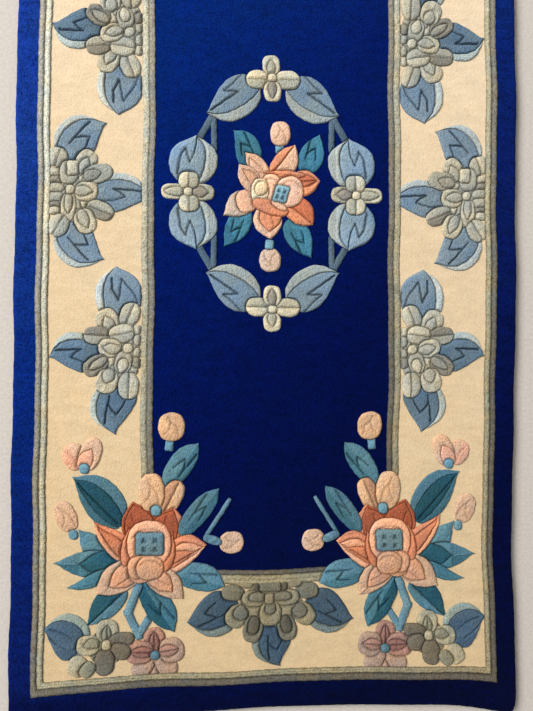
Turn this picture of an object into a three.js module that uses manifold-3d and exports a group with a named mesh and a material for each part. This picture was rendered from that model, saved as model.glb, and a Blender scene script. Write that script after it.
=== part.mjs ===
// A hand-tufted wool rug with a carved pile, lying flat: a dark blue border and field, a cream band
// between two double lines, and flower sprays that stand a few millimetres above the ground.
// Millimetres, +Z up, +Y towards the end of the rug that is away from the viewer, origin under the
// middle of the rug. The rug is one solid: the backing and the ground pile are a slab, and each
// double line, leaf, petal, bud and stem is a low cushion of longer pile that rises out of it.
import * as THREE from 'three';
import { mergeVertices } from 'three/addons/utils/BufferGeometryUtils.js';
import Module from 'manifold-3d';

// The slab: the design's half width and half length, and the height of the clipped ground pile.
const HALF_WIDTH = 350;
const HALF_LENGTH = 716;
const CORNER_RADIUS = 18;
const GROUND_HEIGHT = 13;
const EDGE_ROUNDING = 2;

// The double lines: the outer edge of each from the centre line of the rug, its width and its height.
const LINE_HEIGHT = 15;
const OUTER_LINE = { halfWidth: 320.5, halfLength: 679, width: 18 };
const INNER_LINE = { halfWidth: 180.5, halfLength: 541, width: 18.5 };

// The carved cushions: how deep those with a steep side are rooted in the slab, the edge of their top,
// the rim of those that are only domed, and the crown of all.
const ROOT_HEIGHT = 10.5;
const SHOULDER_HEIGHT = 14.9;
const SHOULDER_INSET = 2.2;
const DOME_RIM_HEIGHT = 12.7;
const CROWN_HEIGHT = 16.4;

// How the rug lies: its near corners creep out along it, its left side runs askew, and its right side
// is drawn in a little short of each end. The shift brings the middle of it to the origin.
const NEAR_RIGHT_FLARE = 24;
const NEAR_LEFT_FLARE = 14;
const FAR_FLARE = 6;
const LEFT_SKEW = 0.0135;
const WAIST_DEPTH = 6;
const WAIST_PLACE = 450;
const WAIST_SPAN = 150;
const SHIFT = { x: 4.7, y: 7.7 };

function lay(x, y) {
  const side = Math.abs(x) / HALF_WIDTH;
  const end = Math.abs(y) / HALF_LENGTH;
  const nearFlare = x > 0 ? NEAR_RIGHT_FLARE : NEAR_LEFT_FLARE;
  const flare = (y > 0 ? FAR_FLARE : -nearFlare) * side ** 3 * end ** 6;
  const waist = WAIST_DEPTH * Math.exp(-(((Math.abs(y) - WAIST_PLACE) / WAIST_SPAN) ** 2));
  const sideways = x < 0 ? LEFT_SKEW * y * side : -waist * side;
  return [x + sideways + SHIFT.x, y + flare + SHIFT.y];
}

// Kinds of cushion: the sides of its outline, whether it is a plain dome or has a steep side and a
// shoulder, and how much and how suddenly its far end narrows to a point.
const LEAF = { sides: 8, domed: false, point: 1, narrowing: 6 };
const SLIM_LEAF = { sides: 7, domed: false, point: 1, narrowing: 4 };
const POINTED_PETAL = { sides: 7, domed: true, point: 0.8, narrowing: 5 };
const PETAL = { sides: 6, domed: true, point: 0, narrowing: 1 };
const BEAD = { sides: 5, domed: true, point: 0, narrowing: 1 };
const STRAND = { sides: 4, domed: true, point: 0, narrowing: 1 };

// In each table a row is one cushion: its kind, the x and y of its base and of its tip, and how far it
// reaches to the left and to the right of the line from base to tip.
// The four petals and the bead of a wreath flower across the rug.
const WREATH_FLOWER_ACROSS = [
  [PETAL, -8, 158, -38, 157, 14, 14],
  [PETAL, 7, 158, 38, 158, 13.5, 13.5],
  [PETAL, -1, 154, -1, 126, 13.5, 13.5],
  [PETAL, -1, 167, -1, 195, 13.5, 13.5],
  [BEAD, -7, 160, 5, 160, 6.5, 6.5],
];

// The same for a wreath flower at its side.
const WREATH_FLOWER_SIDE = [
  [PETAL, -115, 5, -115, 29, 14, 14],
  [PETAL, -123, 0, -154, 0, 11.5, 11.5],
  [PETAL, -108, 0, -80, 0, 11.5, 11.5],
  [PETAL, -115, -5, -115, -29, 14, 14],
  [BEAD, -122, 0, -110, 0, 6.5, 6.5],
];

// One quarter of the wreath: its two broad leaves and the two strands that join them.
const WREATH_QUARTER = [
  [LEAF, -24, 150, -93, 111, 30, 29],
  [LEAF, -113, 9, -107, 79, 33, 31],
  [STRAND, -84, 58, -80, 106, 4.5, 4.5],
  [STRAND, -105, 72, -83, 105, 4.5, 4.5],
];

// The flower in the middle of the wreath: leaves, petals, the rolled heart, the eye and two buds.
const CENTRE_FLOWER = [
  [SLIM_LEAF, -24, 38, -57, 86, 15, 21],
  [SLIM_LEAF, 38, 28, 67, 84, 17, 18],
  [SLIM_LEAF, -34, -20, -68, -74, 18, 15],
  [SLIM_LEAF, 18, -38, 54, -88, 19, 16],
  [POINTED_PETAL, -6, 26, 32, 67, 12.5, 18],
  [POINTED_PETAL, 24, 14, 65, 17, 15, 20],
  [POINTED_PETAL, 18, -14, 57, -44, 20, 15],
  [POINTED_PETAL, -4, -18, -2, -63, 16, 23],
  [POINTED_PETAL, -24, -8, -67, -30, 8, 23],
  [PETAL, -12, 24, -34, 58, 9, 12],
  [PETAL, -20, 10, -43, 42, 11, 12],
  [PETAL, -4, -12, -4, 28, 15, 15],
  [PETAL, 30, -18, 26, 24, 14, 14],
  [PETAL, -17, -11, -18, 21, 11, 11],
  [STRAND, -26, -12, 20, -27, 8, 8],
  [BEAD, 12, -12, 14, 14, 11, 11],
  [PETAL, 9, 66, 11, 100, 15, 15],
  [BEAD, 8, 55, 9, 67, 8, 8],
  [PETAL, -4, -76, -4, -108, 16, 16],
  [BEAD, -3, -61, -5, -78, 7, 7],
];

// The spray that leans on the outer line half way along the rug.
const OUTER_SPRAY = [
  [LEAF, -277, 42, -226, 93, 37, 18],
  [LEAF, -245, -2, -177, -13, 29, 23],
  [LEAF, -277, -46, -226, -96, 18, 37],
  [PETAL, -278, 36, -304, 51, 13, 13],
  [PETAL, -262, 28, -243, 54, 13.5, 13.5],
  [PETAL, -256, 16, -220, 27, 12.5, 12.5],
  [BEAD, -273, 20, -273, 40, 11, 11],
  [STRAND, -288, 15, -262, 13, 6, 6],
  [BEAD, -283, 1, -271, 1, 6.5, 6.5],
  [PETAL, -270, 0, -240, 0, 12.5, 12.5],
  [PETAL, -275, -4, -277, -43, 11, 11],
  [STRAND, -305, 28, -286, 26, 6, 6],
  [STRAND, -305, 16, -286, 16, 5, 5],
  [STRAND, -305, 5, -284, 4, 6, 6],
  [STRAND, -305, -9, -284, -8, 6, 6],
  [BEAD, -304, -26, -291, -27, 8, 8],
  [PETAL, -279, -39, -303, -56, 15, 15],
  [PETAL, -251, -20, -219, -34, 12, 12],
  [PETAL, -261, -28, -245, -55, 14, 14],
];

// The spray that leans on the inner line between the middle and the end of the rug.
const INNER_SPRAY = [
  [LEAF, -211, -182, -214, -102, 29, 31],
  [LEAF, -238, -219, -304, -225, 26, 30],
  [LEAF, -208, -258, -214, -333, 23, 35],
  [PETAL, -220, -193, -231, -161, 15.5, 15.5],
  [PETAL, -200, -184, -192, -155, 13, 13],
  [PETAL, -222, -199, -257, -194, 12.5, 12.5],
  [PETAL, -221, -198, -191, -192, 11, 11],
  [PETAL, -207, -218, -237, -211, 13, 13],
  [BEAD, -204, -215, -190, -215, 7, 7],
  [BEAD, -191, -206, -178, -204, 8, 8],
  [BEAD, -191, -221, -178, -223, 7, 7],
  [PETAL, -201, -222, -208, -247, 11, 11],
  [BEAD, -193, -229, -179, -241, 8, 8],
  [PETAL, -227, -230, -256, -249, 13, 13],
  [BEAD, -220, -229, -221, -246, 8, 8],
  [PETAL, -220, -245, -231, -276, 15.5, 15.5],
  [PETAL, -196, -250, -197, -285, 13.5, 13.5],
];

// The spray at the end of the field, under its inner line.
const END_SPRAY = [
  [LEAF, -46, -568, -119, -593, 33, 26],
  [LEAF, 44, -568, 113, -593, 26, 33],
  [LEAF, 0, -590, 8, -657, 25, 33],
  [PETAL, -43, -553, -71, -553, 11, 11],
  [PETAL, 34, -553, 64, -553, 12, 12],
  [PETAL, -40, -574, -61, -596, 14, 14],
  [PETAL, 32, -574, 55, -597, 14, 14],
  [PETAL, -24, -585, -32, -621, 13.5, 13.5],
  [PETAL, 16, -586, 25, -621, 13, 13],
  [PETAL, -12, -561, -43, -560, 11, 11],
  [PETAL, 2, -561, 36, -560, 11, 11],
  [PETAL, -3, -566, -3, -599, 15, 15],
  [BEAD, -12, -561, 2, -561, 7.5, 7.5],
  [STRAND, -26, -544, 20, -544, 8, 8],
];

// The large flower spray in a corner: buds, leaves, the open flower, and the two low flowers.
const CORNER_SPRAY = [
  [PETAL, -140, -342, -138, -302, 18.5, 18.5],
  [BEAD, -143, -357, -141, -341, 6.5, 6.5],
  [SLIM_LEAF, -149, -406, -103, -346, 20, 13],
  [PETAL, -166, -438, -168, -387, 16.5, 16.5],
  [PETAL, -147, -442, -131, -398, 14, 14],
  [BEAD, -159, -446, -159, -430, 7.5, 7.5],
  [PETAL, -257, -374, -279, -352, 15.5, 15.5],
  [PETAL, -251, -382, -236, -339, 13.5, 13.5],
  [BEAD, -254, -386, -254, -371, 7, 7],
  [SLIM_LEAF, -208, -457, -268, -390, 19, 30],
  [PETAL, -274, -461, -285, -424, 14.5, 14.5],
  [BEAD, -270, -473, -270, -460, 6.5, 6.5],
  [SLIM_LEAF, -213, -507, -263, -460, 22, 9],
  [SLIM_LEAF, -213, -510, -295, -504, 20, 18],
  [SLIM_LEAF, -222, -524, -277, -538, 7, 9],
  [POINTED_PETAL, -172, -478, -190, -426, 22, 18],
  [POINTED_PETAL, -152, -478, -134, -436, 16, 20],
  [POINTED_PETAL, -202, -507, -242, -451, 9.5, 21],
  [PETAL, -199, -509, -199, -464, 8.5, 8.5],
  [PETAL, -168, -511, -167, -452, 27, 27],
  [BEAD, -169, -500, -169, -467, 19, 19],
  [PETAL, -139, -519, -138, -473, 8, 8],
  [POINTED_PETAL, -142, -520, -88, -487, 28, 11],
  [PETAL, -186, -528, -192, -499, 11, 11],
  [PETAL, -166, -535, -167, -497, 18, 18],
  [POINTED_PETAL, -180, -520, -234, -548, 15, 24],
  [POINTED_PETAL, -172, -526, -122, -559, 20, 11],
  [SLIM_LEAF, -122, -470, -77, -409, 17, 12],
  [STRAND, -93, -474, -62, -422, 3, 3],
  [PETAL, -71, -483, -41, -483, 16, 16],
  [BEAD, -89, -477, -69, -481, 6, 6],
  [SLIM_LEAF, -132, -527, -63, -539, 24, 16],
  [SLIM_LEAF, -194, -546, -250, -591, 11, 22],
  [SLIM_LEAF, -178, -534, -135, -604, 20, 14],
  [STRAND, -183, -545, -197, -582, 6, 6],
  [STRAND, -198, -573, -177, -615, 6, 6],
  [STRAND, -163, -585, -179, -610, 5, 5],
  [PETAL, -161, -630, -161, -596, 14.5, 14.5],
  [PETAL, -167, -629, -200, -626, 16, 16],
  [PETAL, -155, -630, -123, -626, 17, 17],
  [PETAL, -169, -636, -184, -661, 13, 13],
  [PETAL, -152, -636, -139, -661, 13, 13],
  [BEAD, -168, -635, -154, -635, 6.5, 6.5],
  [LEAF, -252, -612, -309, -595, 33, 26],
  [PETAL, -222, -611, -222, -582, 15, 15],
  [PETAL, -220, -613, -189, -609, 9.5, 9.5],
  [PETAL, -219, -624, -195, -630, 10, 10],
  [PETAL, -225, -626, -228, -658, 13, 13],
  [PETAL, -231, -617, -262, -618, 13.5, 13.5],
  [PETAL, -256, -629, -268, -658, 13, 13],
  [PETAL, -243, -634, -253, -661, 10, 10],
  [BEAD, -230, -617, -218, -617, 6.5, 6.5],
];

const wasm = await Module();
wasm.setup();

// Turns a closed geometry into a solid: shared corners are merged and the flat faces at its poles go.
function solid(geometry) {
  geometry.deleteAttribute('normal');
  geometry.deleteAttribute('uv');
  const merged = mergeVertices(geometry);
  const corners = merged.index.array;
  const faces = [];
  for (let i = 0; i < corners.length; i += 3) {
    const [a, b, c] = corners.slice(i, i + 3);
    if (a !== b && b !== c && c !== a) faces.push(a, b, c);
  }
  const vertProperties = new Float32Array(merged.attributes.position.array);
  return new wasm.Manifold(new wasm.Mesh({ numProp: 3, vertProperties, triVerts: new Uint32Array(faces) }));
}

// Moves every vertex of a geometry to the place that a function gives for it.
function reshape(geometry, place) {
  const positions = geometry.attributes.position;
  for (let i = 0; i < positions.count; i += 1) {
    positions.setXYZ(i, ...place(positions.getX(i), positions.getY(i), positions.getZ(i)));
  }
  return geometry;
}

// The slab: a rectangle with rounded corners, laid as the rug lies, thick as backing and ground pile.
function slab() {
  const SIDE_STEPS = 12;
  const END_STEPS = 8;
  const CORNER_STEPS = 3;
  const straightX = HALF_WIDTH - CORNER_RADIUS;
  const straightY = HALF_LENGTH - CORNER_RADIUS;
  const outline = [];
  const turns = [[1, -1], [1, 1], [-1, 1], [-1, -1]];
  turns.forEach(([signX, signY], corner) => {
    const start = (corner - 1) * Math.PI / 2;
    for (let i = 0; i <= CORNER_STEPS; i += 1) {
      const angle = start + i / CORNER_STEPS * Math.PI / 2;
      outline.push([
        signX * straightX + CORNER_RADIUS * Math.cos(angle),
        signY * straightY + CORNER_RADIUS * Math.sin(angle),
      ]);
    }
    const alongSide = corner % 2 === 0;
    const steps = alongSide ? SIDE_STEPS : END_STEPS;
    for (let i = 1; i < steps; i += 1) {
      const run = 1 - 2 * i / steps;
      outline.push(alongSide
        ? [signX * HALF_WIDTH, signY * straightY * run]
        : [signX * straightX * run, signY * HALF_LENGTH]);
    }
  });
  const shape = new THREE.Shape(outline.map(([x, y]) => new THREE.Vector2(...lay(x, y))));
  const geometry = new THREE.ExtrudeGeometry(shape, {
    depth: GROUND_HEIGHT - 2 * EDGE_ROUNDING,
    bevelThickness: EDGE_ROUNDING,
    bevelSize: EDGE_ROUNDING,
    bevelOffset: -EDGE_ROUNDING,
    bevelSegments: 1,
  });
  geometry.translate(0, 0, EDGE_ROUNDING);
  return solid(geometry);
}

// A double line: two ridges with a groove between them, run round a rectangle. The ring comes from a
// closed profile turned about the axis, whose turn is then laid out along the four sides.
function doubleLine({ halfWidth, halfLength, width }) {
  const STEPS_PER_SIDE = 8;
  const SLOPE = 1.8;
  const GROOVE_HEIGHT = 13.4;
  const middle = width / 2;
  const profile = [
    [width, ROOT_HEIGHT], [0, ROOT_HEIGHT], [SLOPE, LINE_HEIGHT], [middle - SLOPE, LINE_HEIGHT],
    [middle, GROOVE_HEIGHT], [middle + SLOPE, LINE_HEIGHT], [width - SLOPE, LINE_HEIGHT],
    [width, ROOT_HEIGHT],
  ];
  const FAR = 1000;
  const points = profile.map(([inset, height]) => new THREE.Vector2(FAR - inset, height));
  const geometry = new THREE.LatheGeometry(points, 4 * STEPS_PER_SIDE);
  reshape(geometry, (x, height, z) => {
    const inset = FAR - Math.hypot(x, z);
    const turn = (Math.atan2(x, z) / (2 * Math.PI) + 1) % 1;
    const station = Math.round(turn * 4 * STEPS_PER_SIDE) % (4 * STEPS_PER_SIDE);
    const side = Math.floor(station / STEPS_PER_SIDE);
    const run = 1 - 2 * (station % STEPS_PER_SIDE) / STEPS_PER_SIDE;
    const reachX = halfWidth - inset;
    const reachY = halfLength - inset;
    const places = [
      [reachX, -reachY * run], [reachX * run, reachY], [-reachX, reachY * run], [-reachX * run, -reachY],
    ];
    return [...lay(...places[side]), height];
  });
  return solid(geometry);
}

// A cushion of pile: a round one with a sloping side and a crown, drawn out from its base to its tip.
function cushion([kind, baseX, baseY, tipX, tipY, left, right]) {
  const length = Math.hypot(tipX - baseX, tipY - baseY);
  const alongX = (tipX - baseX) / length;
  const alongY = (tipY - baseY) / length;
  const smallest = Math.min(length, left + right) / 2;
  const shoulder = 1 - SHOULDER_INSET / smallest;
  const side = kind.domed
    ? [[0, DOME_RIM_HEIGHT], [1, DOME_RIM_HEIGHT]]
    : [[0, ROOT_HEIGHT], [1, ROOT_HEIGHT], [shoulder, SHOULDER_HEIGHT]];
  const profile = [...side, [0, CROWN_HEIGHT]];
  const points = profile.map(([radius, height]) => new THREE.Vector2(radius, height));
  const geometry = new THREE.LatheGeometry(points, kind.sides);
  reshape(geometry, (across, height, along) => {
    const run = (1 + along) / 2;
    const narrow = 1 - kind.point * run ** kind.narrowing;
    const aside = across * narrow * (across > 0 ? left : right);
    const x = baseX + alongX * run * length - alongY * aside;
    const y = baseY + alongY * run * length + alongX * aside;
    return [...lay(x, y), height];
  });
  return solid(geometry);
}

// A table's cushions as they are drawn, or turned over the rug's long or cross middle line.
function mirrored(rows, signX, signY) {
  return rows.map(([kind, baseX, baseY, tipX, tipY, left, right]) => {
    const sides = signX * signY > 0 ? [left, right] : [right, left];
    return [kind, signX * baseX, signY * baseY, signX * tipX, signY * tipY, ...sides];
  });
}

const cushions = [...CENTRE_FLOWER];
for (const sign of [1, -1]) {
  cushions.push(...mirrored(WREATH_FLOWER_ACROSS, 1, sign));
  cushions.push(...mirrored(WREATH_FLOWER_SIDE, sign, 1));
  cushions.push(...mirrored(OUTER_SPRAY, sign, 1));
  cushions.push(...mirrored(END_SPRAY, 1, sign));
  for (const signY of [1, -1]) {
    cushions.push(...mirrored(WREATH_QUARTER, sign, signY));
    cushions.push(...mirrored(INNER_SPRAY, sign, signY));
    cushions.push(...mirrored(CORNER_SPRAY, sign, signY));
  }
}

let body = slab().add(doubleLine(OUTER_LINE)).add(doubleLine(INNER_LINE));
for (const row of cushions) body = body.add(cushion(row));

const { vertProperties, triVerts } = body.getMesh();
const geometry = new THREE.BufferGeometry();
geometry.setAttribute('position', new THREE.BufferAttribute(new Float32Array(vertProperties), 3));
geometry.setIndex(new THREE.BufferAttribute(new Uint32Array(triVerts), 1));
geometry.computeVertexNormals();

const wool = new THREE.MeshStandardMaterial({ color: 0x0a2060, roughness: 0.95, metalness: 0 });
const rug = new THREE.Mesh(geometry, wool);
rug.name = 'rug';

const part = new THREE.Group();
part.add(rug);

export default part;
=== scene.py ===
import math

import bmesh
import bpy
import numpy as np
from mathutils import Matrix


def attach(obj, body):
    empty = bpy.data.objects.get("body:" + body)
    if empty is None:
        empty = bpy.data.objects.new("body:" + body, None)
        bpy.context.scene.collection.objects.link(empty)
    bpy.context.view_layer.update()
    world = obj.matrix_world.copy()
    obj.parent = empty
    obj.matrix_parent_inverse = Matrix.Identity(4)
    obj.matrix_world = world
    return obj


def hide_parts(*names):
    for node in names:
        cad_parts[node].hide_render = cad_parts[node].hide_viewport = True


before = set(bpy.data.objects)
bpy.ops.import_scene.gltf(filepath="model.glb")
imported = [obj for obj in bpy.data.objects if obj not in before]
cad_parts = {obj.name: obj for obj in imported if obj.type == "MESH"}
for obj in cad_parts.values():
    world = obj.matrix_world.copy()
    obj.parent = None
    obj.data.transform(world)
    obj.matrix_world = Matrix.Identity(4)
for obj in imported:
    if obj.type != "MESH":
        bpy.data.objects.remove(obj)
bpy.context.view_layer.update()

# The ground of the rug: a cotton backing with a dense wool pile tufted into it, clipped level, dark blue
# on the border and the field and cream on the band between them. It is one cloth with the flowers, which
# stand on it as longer pile. It lies on the floor, and its near corners have crept out a little.
MM = 0.001
HALF_WIDTH = 350.0
HALF_LENGTH = 716.0
CORNER_RADIUS = 18.0
GROUND_HEIGHT = 13.0
RIM_RADIUS = 5.0
UNDER_TUCK = 1.5
GROUND_CELL = 9.0
RIM_STEPS = [0.0, 0.4, 1.2, 2.4, 4.0, 6.5, 10.0]
BAND_OUTSIDE = (311.5, 669.5)
BAND_INSIDE = (171.5, 531.0)
SHIFT = (4.7, 7.7)
LONG_WAVE = 0.9
SHORT_WAVE = 0.5
FLEECE = 0.25
FAR_FLARE = 6.0
NEAR_LEFT_FLARE = 14.0
NEAR_RIGHT_FLARE = 24.0
WAIST = 6.0
WAIST_PLACE = 450
WAIST_SPREAD = 150
LEFT_LEAN = 0.0135


def lay(x, y):
    """Where a place of the drawn design lies on the floor, in millimetres. Nothing runs quite straight,
    the cut edges of the pile are fleecy, the left side is askew, the right one drawn in at its waists."""
    x = x + LONG_WAVE * np.sin(y / 41 + 1.7 * np.sin(x / 67)) + SHORT_WAVE * np.sin(y / 19 + x / 53)
    y = y + LONG_WAVE * np.sin(x / 37 + 1.4 * np.sin(y / 71)) + SHORT_WAVE * np.sin(x / 23 - y / 47)
    x = x + FLEECE * np.sin(y / 2.3 + 2.0 * np.sin(x / 5.1))
    y = y + FLEECE * np.sin(x / 2.6 + 2.0 * np.sin(y / 4.7))
    side = np.abs(x) / HALF_WIDTH
    end = np.abs(y) / HALF_LENGTH
    near_flare = np.where(x > 0, NEAR_RIGHT_FLARE, NEAR_LEFT_FLARE)
    flare = np.where(y > 0, FAR_FLARE, -near_flare) * side**3 * end**6
    waist = WAIST * np.exp(-(((np.abs(y) - WAIST_PLACE) / WAIST_SPREAD) ** 2))
    sideways = np.where(x < 0, LEFT_LEAN * y * side, -waist * side)
    return x + sideways + SHIFT[0], y + flare + SHIFT[1]


def dyed(red, green, blue):
    """A dye as it looks in daylight, from 0 to 255, as the linear colour that a shader takes."""
    levels = [level / 255 for level in (red, green, blue)]
    return [v / 12.92 if v < 0.04045 else ((v + 0.055) / 1.055) ** 2.4 for v in levels] + [1.0]


class Value:
    """An output of a shader node. Arithmetic on it adds Math nodes."""

    def __init__(self, shader, socket):
        self.shader = shader
        self.socket = socket

    def math(self, operation, first, second):
        return self.shader.node("ShaderNodeMath", {"operation": operation}, {0: first, 1: second})

    def __add__(self, other):
        return self.math("ADD", self, other)

    def __radd__(self, other):
        return self.math("ADD", other, self)

    def __sub__(self, other):
        return self.math("SUBTRACT", self, other)

    def __rsub__(self, other):
        return self.math("SUBTRACT", other, self)

    def __mul__(self, other):
        return self.math("MULTIPLY", self, other)

    def __rmul__(self, other):
        return self.math("MULTIPLY", other, self)


class Shader:
    """A new material, and the one way in which nodes are added to it."""

    def __init__(self, name):
        self.material = bpy.data.materials.new(name)
        self.material.use_nodes = True
        self.tree = self.material.node_tree
        self.surface = self.tree.nodes["Principled BSDF"]

    def node(self, kind, settings, sockets, output=0):
        made = self.tree.nodes.new(kind)
        for key, setting in settings.items():
            if key == "stops":
                for number, (position, colour) in enumerate(setting):
                    stops = made.color_ramp.elements
                    stop = stops[number] if number < 2 else stops.new(position)
                    stop.position = position
                    stop.color = colour
            else:
                setattr(made, key, setting)
        self.fill(made, sockets)
        return Value(self, made.outputs[output])

    def fill(self, target, sockets):
        for key, given in sockets.items():
            if isinstance(given, Value):
                self.tree.links.new(given.socket, target.inputs[key])
            else:
                target.inputs[key].default_value = given


COOL_CAST = (0.9, 0.97, 1.06, 1.0)
WARM_CAST = (1.09, 1.03, 0.93, 1.0)
# Where painted light and shade puts a wool given as a list of dyes: its middle, how fast it pales towards
# the far end, and how much it spreads at random.
PAINTED_LIGHT_MIDDLE = 0.7
PAINTED_LIGHT_ALONG = 0.7
PAINTED_LIGHT_MOTTLE = 0.12
# Painted shade along the near end of the rug: the list of dyes turns darker over its last few centimetres.
NEAR_END_PAINTED_SHADE = {"From Min": -0.665, "From Max": -0.69, "To Min": 0.0, "To Max": 0.15}


def wool(name, dyes, mottle=0.2, tuft=0.5, groove=0.66, height=0.8, painted_light_across=-0.66, vats=0.85):
    """Clipped wool pile: tufts a little over 2 mm apart, dyed a little unevenly, with painted shade where
    it is carved and in the gaps between its tufts. Where a list of dyes is given, dark first, the wool goes
    from one to the next along and across the rug as painted light and shade, and the number given after
    the height says how fast it does to the right. Vats is how far apart the dye baths were."""
    shader = Shader(name)
    place = shader.node("ShaderNodeTexCoord", {}, {}, "Object")
    rows = shader.node("ShaderNodeVectorMath", {"operation": "MULTIPLY"}, {0: place, 1: (0.4, 1.0, 1.0)})
    blotch = {"Vector": rows, "Scale": 95.0, "Detail": 4.0, "Roughness": 0.6}
    blotch = shader.node("ShaderNodeTexNoise", {}, blotch)
    fuzz = {"Vector": place, "Scale": 260.0, "Detail": 3.0, "Roughness": 0.7}
    fuzz = shader.node("ShaderNodeTexNoise", {}, fuzz)
    fibre = shader.node("ShaderNodeTexNoise", {}, {"Vector": place, "Scale": 620.0, "Detail": 3.0})
    tufts = shader.node("ShaderNodeTexVoronoi", {}, {"Vector": place, "Scale": 420.0, "Randomness": 0.9})
    # The pile attribute is painted shade: full on the crown of a form, less at its carved edges, its cut
    # lines and its base. Groove is how much of the colour it takes away.
    depth = shader.node("ShaderNodeAttribute", {"attribute_name": "pile"}, {}, "Fac")
    unevenness_and_painted_shade = 1 + 2 * mottle * (blotch - 0.5) + 2 * tuft * (fuzz - 0.5) + 1.4 * tuft * (fibre - 0.5)
    # The tufts term darkens the gaps between tufts: painted shade.
    unevenness_and_painted_shade = unevenness_and_painted_shade - 0.6 * tuft * (tufts - 0.45)
    shade = unevenness_and_painted_shade * (depth * groove + (1 - groove))
    dye = dyes[:3]
    if isinstance(dyes[0], list):
        # Painted light and shade: the list of dyes is spread over the rug by place, pale towards the far
        # end and dark towards the near end, and across the rug as the number after the height says.
        far = shader.node("ShaderNodeSeparateXYZ", {}, {"Vector": place}, "Y")
        side = shader.node("ShaderNodeSeparateXYZ", {}, {"Vector": place}, "X")
        # Painted shade: darker along the near end of the rug.
        near_end_shade = shader.node("ShaderNodeMapRange", {}, {"Value": far, **NEAR_END_PAINTED_SHADE}, "Result")
        painted_light = PAINTED_LIGHT_MIDDLE + PAINTED_LIGHT_ALONG * far + painted_light_across * side + PAINTED_LIGHT_MOTTLE * (blotch - 0.5) - near_end_shade
        stops = [(number / (len(dyes) - 1), one) for number, one in enumerate(dyes)]
        dye = shader.node("ShaderNodeValToRGB", {"stops": stops}, {"Fac": painted_light}, "Color")
    vat = shader.node("ShaderNodeTexNoise", {}, {"Vector": place, "Scale": 38.0, "Detail": 1.0})
    cast = {"Factor": 3 * vats * (vat - 0.5) + 0.5, "A": COOL_CAST, "B": WARM_CAST}
    cast = shader.node("ShaderNodeMix", {"data_type": "RGBA"}, cast, "Result")
    colour = shader.node("ShaderNodeVectorMath", {"operation": "SCALE"}, {0: dye, "Scale": shade})
    colour = shader.node("ShaderNodeVectorMath", {"operation": "MULTIPLY"}, {0: colour, 1: cast})
    relief = fuzz * 0.9 + fibre * 0.5 - tufts * 0.6
    bump = shader.node("ShaderNodeBump", {}, {"Height": relief, "Strength": height, "Distance": 0.0016})
    shader.fill(shader.surface, {
        "Base Color": colour,
        "Normal": bump,
        "Roughness": 1.0,
        "Specular IOR Level": 0.02,
        "Sheen Weight": 0.012,
        "Sheen Roughness": 0.6,
    })
    return shader.material


def backing(name, dye):
    """Cotton canvas, stuck on under the tufts: threads over and under, 1.6 mm apart."""
    shader = Shader(name)
    place = shader.node("ShaderNodeTexCoord", {}, {}, "Object")
    bands = {"wave_type": "BANDS", "bands_direction": "X"}
    warp = shader.node("ShaderNodeTexWave", bands, {"Vector": place, "Scale": 190.0, "Distortion": 0.6})
    bands = {"wave_type": "BANDS", "bands_direction": "Y"}
    weft = shader.node("ShaderNodeTexWave", bands, {"Vector": place, "Scale": 190.0, "Distortion": 0.6})
    weave = warp * weft
    scaled = {0: dye[:3], "Scale": 0.75 + 0.35 * weave}
    colour = shader.node("ShaderNodeVectorMath", {"operation": "SCALE"}, scaled)
    bump = shader.node("ShaderNodeBump", {}, {"Height": weave, "Strength": 0.5, "Distance": 0.0006})
    shader.fill(shader.surface, {"Base Color": colour, "Normal": bump, "Roughness": 0.9})
    return shader.material


def stations(half, cell, rim):
    """Places across the rug, close together at both of its edges and even between them."""
    inner = half - rim[-1]
    steps = math.ceil(2 * inner / cell)
    between = [-inner + 2 * inner * i / steps for i in range(1, steps)]
    return np.array([-half + r for r in rim] + between + [half - r for r in reversed(rim)])


def finished(piece_name, bm, materials):
    """Turns a drawn mesh in millimetres into a piece that lies as the rug does, in metres."""
    mesh = bpy.data.meshes.new(piece_name)
    bm.to_mesh(mesh)
    return laid(piece_name, mesh, materials, 1, 1)


def laid(piece_name, mesh, materials, sign_x, sign_y):
    """A drawn mesh, turned over the rug's middle lines where asked, laid on the floor and made a piece."""
    places = np.empty(len(mesh.vertices) * 3)
    mesh.vertices.foreach_get("co", places)
    places = places.reshape(-1, 3)
    x, y = lay(sign_x * places[:, 0], sign_y * places[:, 1])
    mesh.vertices.foreach_set("co", (np.stack([x, y, places[:, 2]], 1) * MM).ravel())
    if sign_x * sign_y < 0:
        mesh.flip_normals()
    mesh.update()
    for material in materials:
        mesh.materials.append(material)
    piece = bpy.data.objects.new(piece_name, mesh)
    bpy.context.scene.collection.objects.link(piece)
    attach(piece, "root")
    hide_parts("rug")
    return piece


# Each wool is given from dark to pale and spread over the rug as painted light and shade, pale at the far
# left of the rug and dark at its near right. The cream one turns the other way across the rug.
BORDER_PAINTED_LIGHT_RAMP = [dyed(1, 7, 46), dyed(1, 10, 58), dyed(6, 26, 92), dyed(6, 38, 114), dyed(21, 55, 140)]
FIELD_PAINTED_LIGHT_RAMP = [dyed(1, 5, 34), dyed(1, 9, 50), dyed(1, 13, 70), dyed(1, 23, 93), dyed(2, 38, 114)]
CREAM_PAINTED_LIGHT_RAMP = [dyed(203, 177, 140), dyed(218, 190, 149), dyed(226, 201, 165), dyed(237, 214, 183)]
columns = stations(HALF_WIDTH, GROUND_CELL, RIM_STEPS)
rows = stations(HALF_LENGTH, GROUND_CELL, RIM_STEPS)
bm = bmesh.new()
pile = bm.verts.layers.float.new("pile")
bmesh.ops.create_grid(bm, x_segments=len(columns) - 1, y_segments=len(rows) - 1, size=1)
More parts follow.
